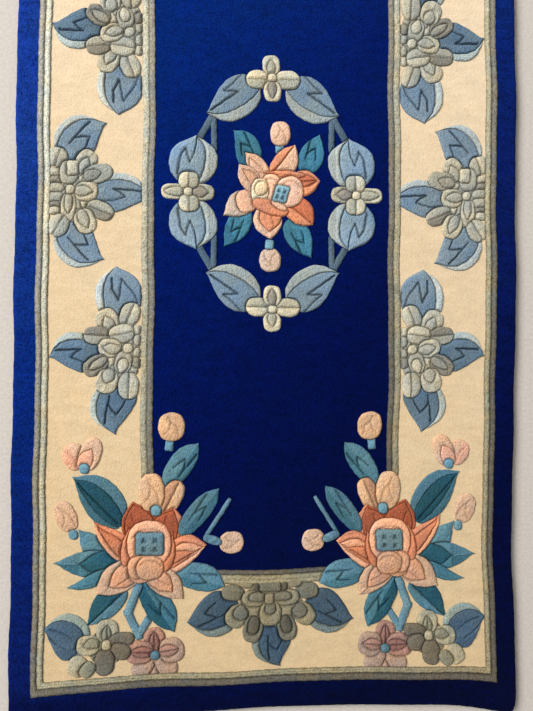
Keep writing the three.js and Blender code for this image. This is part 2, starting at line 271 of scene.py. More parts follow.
for vertex in bm.verts:
    x = columns[round((vertex.co.x + 1) / 2 * (len(columns) - 1))]
    y = rows[round((vertex.co.y + 1) / 2 * (len(rows) - 1))]
    turn_x = (abs(x) - HALF_WIDTH) / CORNER_RADIUS + 1
    turn_y = (abs(y) - HALF_LENGTH) / CORNER_RADIUS + 1
    edge = min(HALF_WIDTH - abs(x), HALF_LENGTH - abs(y))
    if turn_x > 0 and turn_y > 0:
        x = math.copysign(HALF_WIDTH + CORNER_RADIUS * (turn_x * math.sqrt(1 - turn_y**2 / 2) - 1), x)
        y = math.copysign(HALF_LENGTH + CORNER_RADIUS * (turn_y * math.sqrt(1 - turn_x**2 / 2) - 1), y)
    drop = max(0.0, 1 - edge / RIM_RADIUS)
    vertex.co = (x, y, GROUND_HEIGHT - RIM_RADIUS * (1 - math.sqrt(1 - drop**2)))
    vertex[pile] = 1.0
for face in bm.faces:
    face.smooth = True
    middle = face.calc_center_median()
    in_band = abs(middle.x) < BAND_OUTSIDE[0] and abs(middle.y) < BAND_OUTSIDE[1]
    in_field = abs(middle.x) < BAND_INSIDE[0] and abs(middle.y) < BAND_INSIDE[1]
    face.material_index = 2 if in_field else 1 if in_band else 0
rim = [edge for edge in bm.edges if edge.is_boundary]
walls = bmesh.ops.extrude_edge_only(bm, edges=rim)["geom"]
feet = [part for part in walls if isinstance(part, bmesh.types.BMVert)]
for vertex in feet:
    if abs(vertex.co.x) > HALF_WIDTH - CORNER_RADIUS:
        vertex.co.x -= math.copysign(UNDER_TUCK, vertex.co.x)
    if abs(vertex.co.y) > HALF_LENGTH - CORNER_RADIUS:
        vertex.co.y -= math.copysign(UNDER_TUCK, vertex.co.y)
    vertex.co.z = 0.0
    vertex[pile] = 1.0
hem = [part for part in walls if isinstance(part, bmesh.types.BMEdge)]
for face in bmesh.ops.contextual_create(bm, geom=hem)["faces"]:
    face.material_index = 3
bmesh.ops.recalc_face_normals(bm, faces=bm.faces)
ground = finished("rug_ground", bm, [
    wool("border_blue_wool", BORDER_PAINTED_LIGHT_RAMP, mottle=0.35, tuft=1.0),
    wool("cream_ground_wool", CREAM_PAINTED_LIGHT_RAMP, mottle=0.14, tuft=0.18, height=0.3, painted_light_across=0.2, vats=0.15),
    wool("field_blue_wool", FIELD_PAINTED_LIGHT_RAMP, mottle=0.2, tuft=0.75),
    backing("cotton_backing", dyed(206, 196, 176)),
])
bm.free()

# The wreath in the middle of the field: eight broad leaves in grey-blue wool with a pale margin, tied by
# two strands of pile at each quarter, and four small flowers in cream and grey. Each leaf and petal is a
# cushion of longer pile, tufted with the ground and cut round with shears, with its veins cut in.
SUNK_HEIGHT = 11.5
APRON_HEIGHT = 13.1
SHOULDER_RISE = 2.2
CROWN_RISE = 1.6
SHOULDER_REACH = 3.8
CROWN_REACH = 7
SHADE_REACH = 3.0
HIDDEN_DEPTH = 2.6
FAR_OFF = 99.0
FINE_CELL = 1.3
COARSE_CELL = 1.8
CUT_WIDTH = 1.15
CUT_DEPTH = 2.4
CUT_START = 1.4
CUT_TAPER = 0.7
# Painted shade towards the base of each form and painted light towards its tip.
BASE_SHADE = 0.3
TIP_GAIN = 1.13

# How square each form is, how much its far end narrows, how suddenly it does on the left and on the
# right of it, how far its middle bows to the left as a share of its length, and the size of its cells.
FORMS = {
    "leaf": (2.1, 1.0, 9.0, 9.0, 0.0, FINE_CELL),
    "hook_left": (2.1, 1.0, 2.6, 9.0, 0.0, FINE_CELL),
    "hook_right": (2.1, 1.0, 9.0, 2.6, 0.0, FINE_CELL),
    "beak_left": (2.1, 1.0, 1.8, 9.0, -0.05, FINE_CELL),
    "beak_right": (2.1, 1.0, 9.0, 1.8, 0.05, FINE_CELL),
    "full": (3.0, 1.0, 12.0, 3.0, 0.0, FINE_CELL),
    "slim": (2.0, 1.0, 4.0, 4.0, 0.0, FINE_CELL),
    "pointed": (2.2, 0.85, 5.0, 5.0, 0.0, FINE_CELL),
    "round": (2.25, 0.0, 1.0, 1.0, 0.0, COARSE_CELL),
    "bud": (2.25, 0.0, 1.0, 1.0, 0.0, FINE_CELL),
    "eye": (7.0, 0.0, 1.0, 1.0, 0.0, FINE_CELL),
    "block": (4.5, 0.0, 1.0, 1.0, 0.0, COARSE_CELL),
    "band": (7.0, 0.0, 1.0, 1.0, 0.0, COARSE_CELL),
}

# Lines cut into a form, as places along it and across it. Across is a share of its reach to the left.
CUTS = {
    "": [],
    "middle": [[(0.06, 0.0), (0.93, 0.0)]],
    "veins": [[(0.8, 0.5), (0.62, 0.42), (0.48, 0.34), (0.3, 0.28)],
              [(0.46, 0.3), (0.56, 0.06), (0.63, -0.12), (0.5, -0.3), (0.38, -0.42)]],
    "veins_turned": [[(0.8, -0.5), (0.62, -0.42), (0.48, -0.34), (0.3, -0.28)],
                     [(0.46, -0.3), (0.56, -0.06), (0.63, 0.12), (0.5, 0.3), (0.38, 0.42)]],
    "zigzag": [[(0.82, 0.36), (0.6, 0.24), (0.35, 0.16), (0.45, 0.0),
                (0.56, -0.17), (0.34, -0.36), (0.08, -0.34)]],
    "zigzag_turned": [[(0.82, -0.36), (0.6, -0.24), (0.35, -0.16), (0.45, 0.0),
                       (0.56, 0.17), (0.34, 0.4), (0.2, 0.6)]],
    "peaks": [[(0.78, 0.32), (0.6, 0.35), (0.4, -0.04), (0.76, -0.2), (0.5, -0.66), (0.33, -0.8)]],
    "wreath_veins": [[(0.9, 0.0), (0.36, -0.14), (0.57, -0.48), (0.4, -0.55), (0.12, -0.8)]],
    "wreath_peaks": [[(0.2, 0.55), (0.55, 0.52), (0.72, 0.36), (0.44, 0.12), (0.66, -0.06), (0.96, -0.1)]],
    "bud": [[(0.2, -0.55), (0.5, -0.4), (0.66, 0.0), (0.4, 0.15), (0.26, 0.5)],
            [(0.66, 0.0), (0.84, 0.25)]],
    "streaks": [[(0.9, 0.1), (0.6, 0.35), (0.3, 0.45)], [(0.8, -0.1), (0.5, 0.0), (0.25, 0.1)]],
    "fold": [[(0.1, 0.3), (0.45, 0.15), (0.8, 0.3)]],
    "crescent": [[(0.6, -0.8), (0.78, -0.4), (0.82, 0.0), (0.78, 0.4), (0.6, 0.8)]],
    "seeds": [[(0.24, 0.46), (0.38, 0.3)], [(0.24, -0.3), (0.38, -0.46)],
              [(0.24, 0.3), (0.38, 0.48)], [(0.24, -0.48), (0.38, -0.3)],
              [(0.6, 0.48), (0.74, 0.3)], [(0.6, -0.3), (0.74, -0.48)],
              [(0.6, 0.3), (0.74, 0.48)], [(0.6, -0.48), (0.74, -0.3)]],
}

# The cuts that are shallower than the others, as shares of their depth.
CUT_SHARES = {"bud": 0.5, "fold": 0.6, "crescent": 0.6, "streaks": 0.7}


class Cushion:
    """One carved form: where its base and its tip are, how far it reaches to each side, and its dyes."""

    def __init__(self, form, base_x, base_y, tip_x, tip_y, left, right, dye, cuts=""):
        self.form = form
        self.base = np.array([base_x, base_y], float)
        self.tip = np.array([tip_x, tip_y], float)
        self.left = left
        self.right = right
        self.dyes = dye.split("|")
        self.cuts = cuts
        self.power, self.point, self.left_narrowing, self.right_narrowing = FORMS[form][:4]
        self.bow, self.cell = FORMS[form][4:]
        self.length = float(np.linalg.norm(self.tip - self.base))
        self.along = (self.tip - self.base) / self.length
        self.aside = np.array([-self.along[1], self.along[0]])

    def inside(self, form, start, end, left, right, dye, cuts=""):
        """A smaller form on this one, given by shares of its length and of its reach to each side."""
        base = self.base + (self.tip - self.base) * start
        tip = self.base + (self.tip - self.base) * end
        return Cushion(form or self.form, *base, *tip, self.left * left, self.right * right, dye, cuts)

    def narrow(self, run, side):
        """The share of its reach that the form keeps at a share of its length."""
        return 1 - self.point * run ** np.where(side > 0, self.left_narrowing, self.right_narrowing)

    def swerve(self, run):
        """How far the middle of the form lies to the left of a straight line, at a share of its length."""
        return 4 * self.bow * self.length * run * (1 - run)

    def place(self, run, share):
        """The place at a share of the length and a share of the reach to the left."""
        reach = np.where(share > 0, self.left, self.right) * share + self.swerve(run)
        forward = np.multiply.outer(run * self.length, self.along)
        return self.base + forward + np.multiply.outer(reach, self.aside)

    def depth(self, x, y):
        """How far inside the outline a place is, in millimetres. Outside it the depth is below zero."""
        dx = x - self.base[0]
        dy = y - self.base[1]
        run = (dx * self.along[0] + dy * self.along[1]) / self.length
        across = dx * self.aside[0] + dy * self.aside[1] - self.swerve(np.clip(run, 0, 1))
        bounded = np.clip(run, 0.001, 0.985)
        keen = np.where(across > 0, self.left_narrowing, self.right_narrowing)
        narrow = 1 - self.point * bounded**keen
        slope = -self.point * keen * bounded ** (keen - 1)
        reach = np.where(across > 0, self.left, self.right) * narrow
        share = np.abs(across) / reach
        swing = np.abs(2 * run - 1)
        level = (share**self.power + swing**self.power) ** (1 / self.power) + 1e-6
        by_share = (share / level) ** (self.power - 1)
        by_swing = (swing / level) ** (self.power - 1) * np.sign(run - 0.5)
        steep_across = by_share / reach
        steep_along = (2 * by_swing - by_share * share * slope / narrow) / self.length
        return (1 - level) / np.maximum(np.hypot(steep_across, steep_along), 1e-3)

    def near(self, other):
        """Whether two forms can touch."""
        gap = np.linalg.norm((self.base + self.tip - other.base - other.tip) / 2)
        return gap < (self.size() + other.size()) / 2

    def size(self):
        """The distance across the form from corner to corner."""
        return math.hypot(self.length, 2 * max(self.left, self.right))

    def cut_distance(self, x, y):
        """How far a place is from the nearest line cut into the form, which is wider where it starts."""
        nearest = np.full(len(x), FAR_OFF)
        for line in CUTS[self.cuts]:
            knots = [self.place(np.array(run), np.array(share)) for run, share in line]
            for number, (start, end) in enumerate(zip(knots, knots[1:])):
                step = end - start
                share = ((x - start[0]) * step[0] + (y - start[1]) * step[1]) / step.dot(step)
                share = np.clip(share, 0, 1)
                gap = np.hypot(x - start[0] - share * step[0], y - start[1] - share * step[1])
                width = CUT_START - CUT_TAPER * (number + share) / (len(knots) - 1)
                nearest = np.minimum(nearest, gap / width)
        return nearest


def shoulder(depth, reach):
    """The share of its height that clipped pile has at a depth inside its carved edge."""
    return np.sqrt(1 - (1 - np.clip(depth / reach, 0, 1)) ** 2)


def expanded(table):
    """The forms of a table. A row that opens with "on" is a smaller form on the one before it."""
    forms = []
    under = None
    for row in table:
        if row[0] == "on":
            forms.append(under.inside(*row[1:]))
        else:
            under = Cushion(*row)
            forms.append(under)
    return forms


def carve(forms, limits, dyes, over):
    """A drawn mesh of a spray. Later forms lie over earlier ones, and those of over lie over them all.
    Limits are straight edges that the spray stays behind: the way across, the side, and the place."""
    bm = bmesh.new()
    pile = bm.verts.layers.float.new("pile")
    for number, form in enumerate(forms):
        wide = max(6, 2 * math.ceil((form.left + form.right) / form.cell / 2))
        long = max(6, math.ceil(form.length / form.cell))
        vertices = bmesh.ops.create_grid(bm, x_segments=wide, y_segments=long, size=1)["verts"]
        grid = np.array([vertex.co[:2] for vertex in vertices])
        across = -grid[:, 0] * np.sqrt(1 - grid[:, 1] ** 2 / 2)
        swing = grid[:, 1] * np.sqrt(1 - grid[:, 0] ** 2 / 2)
        level = (np.abs(across) ** form.power + np.abs(swing) ** form.power) ** (1 / form.power) + 1e-9
        square = np.hypot(across, swing) / level
        across = across * square
        run = (1 + swing * square) / 2
        x, y = form.place(run, across * form.narrow(run, across)).T
        own = form.depth(x, y)
        own[np.abs(grid).max(1) > 0.999] = 0.0
        clear = np.full(len(x), FAR_OFF)
        for later in forms[number + 1:] + over:
            joined = form.form == later.form == "band"
            if form.near(later) and not joined:
                clear = np.minimum(clear, -later.depth(x, y))
        for axis, sign, edge in limits:
            clear = np.minimum(clear, sign * ((x if axis == "x" else y) - edge))
        cut = CUT_SHARES.get(form.cuts, 1.0) * np.exp(-((form.cut_distance(x, y) / CUT_WIDTH) ** 2))
        top = GROUND_HEIGHT + SHOULDER_RISE + CROWN_RISE * (1 - np.exp(-own / CROWN_REACH))
        own_height = SUNK_HEIGHT + (top - SUNK_HEIGHT) * shoulder(own, SHOULDER_REACH)
        clear_height = APRON_HEIGHT + (top - APRON_HEIGHT) * shoulder(clear, SHOULDER_REACH)
        height = np.minimum(own_height, clear_height)
        height = np.where(height > APRON_HEIGHT, np.maximum(height - CUT_DEPTH * cut, APRON_HEIGHT), height)
        # Painted shade: darker in a rim along the carved edges and where a later form lies over this one,
        # at the bottom of its cut lines and towards its base, and a little brighter towards its tip.
        painted_brightness = np.minimum(shoulder(own, SHADE_REACH), shoulder(clear, SHADE_REACH)) * (1 - cut)
        painted_brightness = painted_brightness * (TIP_GAIN - BASE_SHADE * (1 - run))
        left_side = across > 0
        numbers = {}
        for i, vertex in enumerate(vertices):
            vertex.co = (x[i], y[i], height[i])
            vertex[pile] = painted_brightness[i]
            numbers[vertex] = i
        faces = list({face for vertex in vertices for face in vertex.link_faces})
        hidden = []
        for face in faces:
            face.smooth = True
            corners = [numbers[vertex] for vertex in face.verts]
            dye = form.dyes[0] if sum(left_side[i] for i in corners) > 1 else form.dyes[-1]
            face.material_index = dyes.index(dye)
            if max(clear[i] for i in corners) < -HIDDEN_DEPTH:
                hidden.append(face)
        bmesh.ops.delete(bm, geom=hidden, context="FACES")
        kept = [vertex for vertex in vertices if vertex.is_valid]
        border = list({edge for vertex in kept for edge in vertex.link_edges if edge.is_boundary})
        for edge in border:
            for vertex in edge.verts:
                vertex.co.z = SUNK_HEIGHT
        for face in bmesh.ops.holes_fill(bm, edges=border, sides=0)["faces"]:
            face.material_index = dyes.index(form.dyes[0])
            face.normal_update()
            if face.normal.z > 0:
                face.normal_flip()
    return bm


# How much painted shade darkens the wool at the bottom of a cut, for the blue dyes and for the others.
DEEP_PAINTED_GROOVE_SHADE = (0.86, 0.62)
SOFT_PAINTED_GROOVE_SHADE = (0.66, 0.58)


def spray(name, table, limits, dyes, turns, over=(), groove_shades=DEEP_PAINTED_GROOVE_SHADE):
    """The pieces of one spray, one for each place where it is turned over the middle lines.
    The last argument is how much painted shade darkens its wool at the bottom of a cut, for the blue dyes
    and for the others."""
    bm = carve(expanded(table), limits, list(dyes), expanded(over))
    drawn = bpy.data.meshes.new(name)
    bm.to_mesh(drawn)
    bm.free()
    materials = []
    for dye, colour in dyes.items():
        groove = groove_shades[0] if colour[2] > colour[0] else groove_shades[1]
        materials.append(wool(f"{name}_{dye}_wool", colour, groove=groove))
    return [laid(f"{name}_{place}", drawn.copy(), materials, *signs) for place, signs in turns.items()]


ONCE = {"middle": (1, 1)}
BOTH_ENDS = {"far": (1, 1), "near": (1, -1)}
NEAR_FIRST = {"near": (1, 1), "far": (1, -1)}
BOTH_SIDES = {"left": (1, 1), "right": (-1, 1)}
QUARTERS = {"near_left": (1, 1), "near_right": (-1, 1), "far_left": (1, -1), "far_right": (-1, -1)}

WREATH_DYES = {
    "blade": dyed(138, 161, 180),
    "shade": dyed(140, 162, 178),
    "margin": dyed(182, 190, 186),
    "strand": dyed(100, 122, 140),
    "cream": dyed(218, 209, 182),
    "sage": dyed(182, 179, 160),
    "taupe": dyed(152, 146, 136),
}
WREATH_FLOWER_ACROSS = [
    ("round", -4, 157, -39, 157, 14, 14, "sage|cream", "middle"),
    ("round", 3, 157, 39, 158, 14, 14, "cream|sage", "middle"),
    ("round", -1, 156, -1, 126, 13.5, 13.5, "cream"),
    ("on", "pointed", 0.0, 0.85, 0.5, 0.5, "taupe"),
    ("round", -2, 163, -2, 192, 13.5, 13.5, "cream"),
    ("on", "pointed", 0.0, 0.75, 0.5, 0.5, "sage"),
    ("round", -8, 160, 6, 160, 6.5, 6.5, "cream"),
]
WREATH_FLOWER_SIDE = [
    ("round", -119, 0, -154, 0, 12, 12, "cream"),
    ("on", "pointed", 0.0, 0.88, 0.62, 0.62, "sage"),
    ("round", -111, 0, -79, 0, 12.5, 12.5, "sage"),
    ("on", "pointed", 0.0, 0.75, 0.66, 0.66, "taupe"),
    ("round", -115, 3, -115, 29, 15, 15, "cream|sage", "middle"),
    ("round", -115, -3, -115, -29, 15, 15, "sage|cream", "middle"),
    ("round", -123, 0, -109, 0, 6.5, 6.5, "cream"),
]
WREATH_LEAVES = [
    ("band", -82, 56, -83, 106, 5, 5, "strand"),
    ("band", -107, 68, -84, 107, 5.5, 5.5, "strand"),
    ("hook_right", -20, 150, -94, 110, 31, 32, "margin"),
    ("on", "", 0.0, 1.0, 0.5, 1.0, "shade|blade", "wreath_veins"),
    ("leaf", -113, 9, -107, 80, 34, 34, "margin"),
    ("on", "", 0.0, 1.0, 1.0, 0.5, "blade|shade", "wreath_peaks"),
]
flowers = []
wreath_flowers = WREATH_FLOWER_ACROSS + WREATH_FLOWER_SIDE
flowers += spray("wreath_leaves", WREATH_LEAVES, [], WREATH_DYES, QUARTERS, wreath_flowers)
flowers += spray("wreath_end_flower", WREATH_FLOWER_ACROSS, [], WREATH_DYES, BOTH_ENDS)
flowers += spray("wreath_side_flower", WREATH_FLOWER_SIDE, [], WREATH_DYES, BOTH_SIDES)

# The open flower inside the wreath: coral, peach and cream petals round a rolled heart, a blue eye,
# four teal leaves and a bud above and below, tufted in the same way as the wreath.
CENTRE_DYES = {
    "leaf": dyed(76, 138, 165),
    "leaf_dark": dyed(71, 126, 150),
    "cup": dyed(126, 170, 190),
    "eye": dyed(138, 178, 192),
    "coral": dyed(226, 151, 115),
    "peach": dyed(238, 194, 164),
    "blush": dyed(237, 184, 151),
    "rust": dyed(204, 120, 89),
    "clay": dyed(230, 157, 121),
    "cream": dyed(202, 180, 162),
    "roll": dyed(252, 232, 194),
    "roll_shade": dyed(249, 216, 173),
    "dome": dyed(246, 198, 170),
    "pale": dyed(214, 189, 172),
}
CENTRE_FLOWER = [
    ("beak_left", -26, 36, -57, 87, 23, 20, "leaf_dark|leaf", "veins_turned"),
    ("slim", 40, 27, 67, 85, 17, 21, "leaf_dark|leaf", "veins"),
    ("slim", -34, -18, -69, -75, 20, 16, "leaf|leaf_dark", "veins"),
    ("slim", 20, -36, 55, -90, 20, 18, "leaf|leaf_dark", "veins_turned"),
    ("block", 8, 54, 9, 68, 7, 7, "cup"),
    ("pointed", -4, 25, 31, 68, 13, 23, "coral|peach", "middle"),
    ("pointed", 22, 14, 65, 18, 17, 21, "clay"),
    ("on", "pointed", 0.0, 0.9, 0.62, 0.4, "rust", "middle"),
    ("pointed", 18, -14, 57, -44, 22, 15, "rust|coral", "middle"),
    ("pointed", -4, -14, -3, -64, 18, 24, "peach"),
    ("on", "pointed", 0.0, 0.78, 0.98, 0.62, "coral", "fold"),
    ("slim", -20, -8, -69, -31, 13, 25, "cream"),
    ("on", "round", 0.0, 0.55, 0.9, 0.9, "blush"),
    ("pointed", -10, 18, -40, 57, 10, 15, "peach"),
    ("on", "pointed", 0.0, 0.8, 0.9, 0.3, "dome"),
    ("pointed", -20, 4, -48, 41, 14, 14, "peach"),
    ("on", "pointed", 0.0, 0.8, 0.2, 0.8, "blush"),
    ("slim", 44, 24, -16, 29, 6, 6, "coral"),
    ("round", -4, -14, -4, 28, 15, 15, "dome", "crescent"),
    ("round", 26, -20, 20, 24, 19, 19, "dome", "crescent"),
    ("round", -17, -14, -18, 22, 13, 12, "roll"),
    ("round", -16, -3, -16, 18, 9.5, 9, "roll_shade"),
    ("round", -28, -10, 22, -28, 10, 10, "coral"),
    ("round", -2, -10, 20, -24, 5, 5, "peach"),
    ("eye", 8, -13, 14, 11, 10.5, 10.5, "eye", "seeds"),
    ("bud", 9, 65, 11, 101, 15, 15, "peach", "bud"),
    ("bud", -4, -75, -4, -109, 16, 16, "pale", "bud"),
    ("block", -4, -63, -5, -78, 7, 7, "cup"),
]
flowers += spray("centre_flower", CENTRE_FLOWER, [], CENTRE_DYES, ONCE)

# The sprays on the cream band: three grey-blue leaves with pale margins and a cluster of cream and grey
# petals, half way along each side against the outer line, and between there and the corners against the
# inner line. They are cut off straight where they meet the line.
BAND_DYES = {
    "blade": dyed(133, 154, 171),
    "margin": dyed(200, 207, 203),
    "low_blade": dyed(107, 131, 151),
    "low_margin": dyed(194, 204, 199),
    "cream": dyed(199, 192, 170),
    "sage": dyed(176, 174, 160),
    "stone": dyed(145, 141, 130),
    "taupe": dyed(160, 156, 143),
}
OUTER_SPRAY = [
    ("beak_right", -288, 38, -228, 91, 36.5, 33, "margin"),
    ("on", "", 0.0, 1.0, 0.7, 1.0, "blade", "veins"),
    ("beak_right", -247, -2, -166, -11, 26, 36, "margin"),
    ("on", "", 0.0, 1.0, 0.62, 1.0, "blade", "zigzag"),
    ("beak_left", -288, -42, -228, -93, 33, 36.5, "margin"),
    ("on", "", 0.0, 1.0, 1.0, 0.7, "blade", "veins_turned"),
    ("round", -308, -2, -245, -2, 42, 42, "sage"),
    ("round", -308, 26, -288, 25, 7, 7, "cream"),
    ("round", -308, 14, -286, 14, 6.5, 6.5, "stone"),
    ("round", -310, 3.5, -284, 3, 7.5, 7.5, "sage"),
    ("round", -310, -9.5, -284, -9, 7.5, 7.5, "sage"),
    ("round", -306, -20, -288, -20, 5.5, 5.5, "stone"),
    ("round", -308, -28.5, -289, -28, 6.5, 6.5, "cream"),
    ("round", -266, 13, -253, 17, 6, 6, "cream"),
    ("round", -263, -20, -253, -17, 6, 6, "cream"),
    ("round", -272, -26, -262, -40, 7, 7, "sage"),
    ("round", -298, 31, -288, 58, 16, 14, "cream|sage", "middle"),
    ("round", -264, 22, -247, 53.5, 15, 15, "cream"),
    ("on", "pointed", 0.0, 0.7, 0.5, 0.6, "sage"),
    ("round", -260, 17, -219, 27, 13.5, 13.5, "sage"),
    ("on", "pointed", 0.0, 0.62, 0.6, 0.62, "taupe"),
    ("round", -280, 7, -278, 41, 13, 14, "sage"),
    ("block", -273, 19, -273, 41, 9, 8, "cream"),
    ("round", -272, -2, -239, -2, 14, 14, "cream"),
    ("on", "pointed", 0.0, 0.8, 0.62, 0.5, "sage"),
    ("round", -279, -3, -278, -43, 11, 11, "cream"),
    ("on", "pointed", 0.0, 0.75, 0.6, 0.55, "sage"),
    ("round", -283, -34, -299, -63, 15, 15, "sage|cream", "middle"),
    ("round", -255, -20, -217, -34, 13, 13, "sage|stone", "middle"),
    ("round", -263, -26, -247, -58, 15, 15, "cream"),
    ("on", "pointed", 0.0, 0.8, 0.5, 0.55, "sage"),
    ("round", -284, 1, -270, 1, 7, 7, "cream"),
]
OUTER_LIMITS = [("x", 1, -303.5), ("x", -1, -179.5)]
flowers += spray("outer_spray", OUTER_SPRAY, OUTER_LIMITS, BAND_DYES, BOTH_SIDES)

INNER_SPRAY = [
    ("leaf", -210.5, -182, -213.5, -101, 30, 33, "margin"),
    ("on", "", 0.0, 1.0, 0.62, 1.0, "blade", "peaks"),
    ("beak_left", -235, -219, -304, -226, 38, 28, "low_margin"),
    ("on", "", 0.0, 1.0, 1.0, 0.62, "low_blade", "zigzag_turned"),
    ("beak_left", -209.5, -258, -212, -334, 37, 33, "low_margin"),
    ("on", "", 0.0, 1.0, 1.0, 0.7, "low_blade", "veins_turned"),
    ("round", -179.5, -222, -237.5, -222, 46, 46, "sage"),
    ("round", -191.5, -190, -177.5, -192, 8, 8, "cream"),
    ("round", -190.5, -206, -176.5, -204, 8.5, 8.5, "sage"),
    ("round", -190.5, -221, -176.5, -223, 7.5, 7.5, "sage"),
    ("round", -192.5, -231, -177.5, -240, 8, 8, "stone"),
    ("round", -213, -231, -225.5, -240, 8, 8, "cream"),
    ("round", -221.5, -244, -211.5, -246, 7, 7, "sage"),
    ("round", -218.5, -196, -231.5, -160, 16, 16, "cream"),
    ("on", "pointed", 0.0, 0.72, 0.5, 0.6, "sage"),
    ("round", -201.5, -186, -189.5, -153, 14, 14, "sage|cream", "middle"),
    ("round", -220.5, -199, -257, -195, 13.5, 13.5, "sage|stone", "middle"),
    ("round", -223.5, -199, -188.5, -193, 14, 14, "cream|sage", "middle"),
    ("round", -205.5, -218, -238, -212, 13.5, 13.5, "cream"),
    ("on", "pointed", 0.0, 0.8, 0.66, 0.5, "sage"),
    ("round", -199.5, -220, -207.5, -251, 12.5, 12.5, "sage"),
    ("on", "pointed", 0.3, 1.0, 0.7, 0.6, "cream"),
    ("round", -225, -229, -257, -249, 14, 14, "stone"),
    ("on", "pointed", 0.0, 0.8, 0.5, 0.5, "taupe"),
    ("round", -220.5, -244, -230, -278, 16, 16, "cream"),
    ("on", "pointed", 0.0, 0.6, 0.6, 0.6, "sage"),
    ("round", -195, -248, -195.5, -286, 14.5, 15.5, "cream|sage", "middle"),
    ("round", -204.5, -216, -189.5, -216, 7.5, 7.5, "cream"),
]
INNER_LIMITS = [("x", -1, -181.0), ("x", 1, -303.0)]
flowers += spray("inner_spray", INNER_SPRAY, INNER_LIMITS, BAND_DYES, QUARTERS)

# The spray at each end of the band, under the middle of the field: the same leaves and petals, dyed
# darker, with one leaf pointing to the end of the rug.
END_DYES = {
    "blade": dyed(71, 91, 108),
    "margin": dyed(120, 132, 130),
    "cream": dyed(144, 136, 112),
    "sage": dyed(120, 118, 104),
    "stone": dyed(98, 94, 82),
}
END_SPRAY = [
    ("hook_right", -45, -568, -117.5, -593, 33, 31, "margin"),
    ("on", "", 0.0, 1.0, 0.66, 1.0, "blade", "veins"),
    ("hook_left", 44, -568, 114, -593, 31, 33, "margin"),
    ("on", "", 0.0, 1.0, 1.0, 0.66, "blade", "veins_turned"),
    ("beak_left", -1, -590, 9, -658, 38, 30, "margin"),
    ("on", "", 0.0, 1.0, 1.0, 0.64, "blade", "veins_turned"),
    ("round", -47, -573, 42, -573, 32, 28, "cream"),
    ("round", -37, -552, -70.5, -553, 12, 12, "sage"),
    ("round", 30, -552, 65, -553, 12.5, 12.5, "sage"),
    ("round", -46, -540, -25.5, -541, 7, 7, "cream"),
    ("round", 18, -541, 42, -540, 7, 7, "cream"),
    ("round", -37, -571, -60.5, -598, 15, 15, "cream"),
    ("on", "round", 0.0, 0.6, 0.8, 0.6, "sage"),
    ("round", 31, -571, 56, -598, 15, 15, "cream"),
    ("on", "round", 0.0, 0.6, 0.6, 0.8, "sage"),
    ("round", -22.5, -584, -31, -622, 14.5, 14.5, "sage"),
    ("on", "round", 0.0, 0.7, 0.6, 0.6, "stone"),
    ("round", 16, -585, 25, -622, 14, 14, "sage"),
    ("on", "round", 0.0, 0.7, 0.6, 0.6, "stone"),
    ("round", -8, -561, -43, -560, 12, 12, "cream"),
    ("on", "round", 0.0, 0.72, 0.4, 0.8, "sage"),
    ("round", 0, -561, 38, -560, 12, 12, "cream"),
    ("on", "round", 0.0, 0.72, 0.8, 0.4, "sage"),
    ("round", -3, -564, -3, -600, 16, 16, "cream"),
    ("on", "round", 0.0, 0.55, 0.5, 0.5, "sage"),
    ("block", -26.5, -544, 21, -544, 8, 8, "stone"),
    ("on", "block", 0.16, 0.82, 1.0, 1.0, "sage"),
    ("block", -11.5, -561, 2, -561, 8, 8, "cream"),
]
END_LIMITS = [("y", -1, -537.0), ("y", 1, -661.0)]
flowers += spray("end_spray", END_SPRAY, END_LIMITS, END_DYES, NEAR_FIRST, (), SOFT_PAINTED_GROOVE_SHADE)

# The great flower in each corner, which lies over the corner of the field: an open flower in rust, coral
# and peach with a blue eye, four buds on blue cups, teal leaves, a mauve flower and a grey one.
CORNER_DYES = {
    "teal_light": dyed(95, 136, 152),
    "teal": dyed(77, 122, 138),
    "teal_dark": dyed(47, 92, 108),
    "stem": dyed(108, 145, 162),
    "cup": dyed(112, 155, 171),
    "eye": dyed(109, 137, 146),
    "rust": dyed(182, 100, 72),
    "coral": dyed(220, 144, 110),
    "salmon": dyed(232, 168, 131),
    "clay": dyed(206, 131, 97),
    "ring": dyed(239, 179, 145),
    "peach": dyed(224, 180, 141),
    "bud_pale": dyed(230, 189, 158),
    "bud_coral": dyed(242, 183, 155),
    "tan": dyed(192, 145, 115),
    "oval": dyed(214, 162, 128),
    "low": dyed(212, 159, 128),
    "low_pale": dyed(200, 166, 141),
    "mauve": dyed(172, 133, 119),
    "mauve_dark": dyed(148, 108, 99),
    "mauve_pale": dyed(178, 150, 133),
    "dot": dyed(93, 128, 143),
    "blade": dyed(86, 108, 126),
    "margin": dyed(156, 170, 163),
    "cream": dyed(180, 171, 144),
    "sage": dyed(142, 139, 120),
    "stone": dyed(115, 108, 95),
}
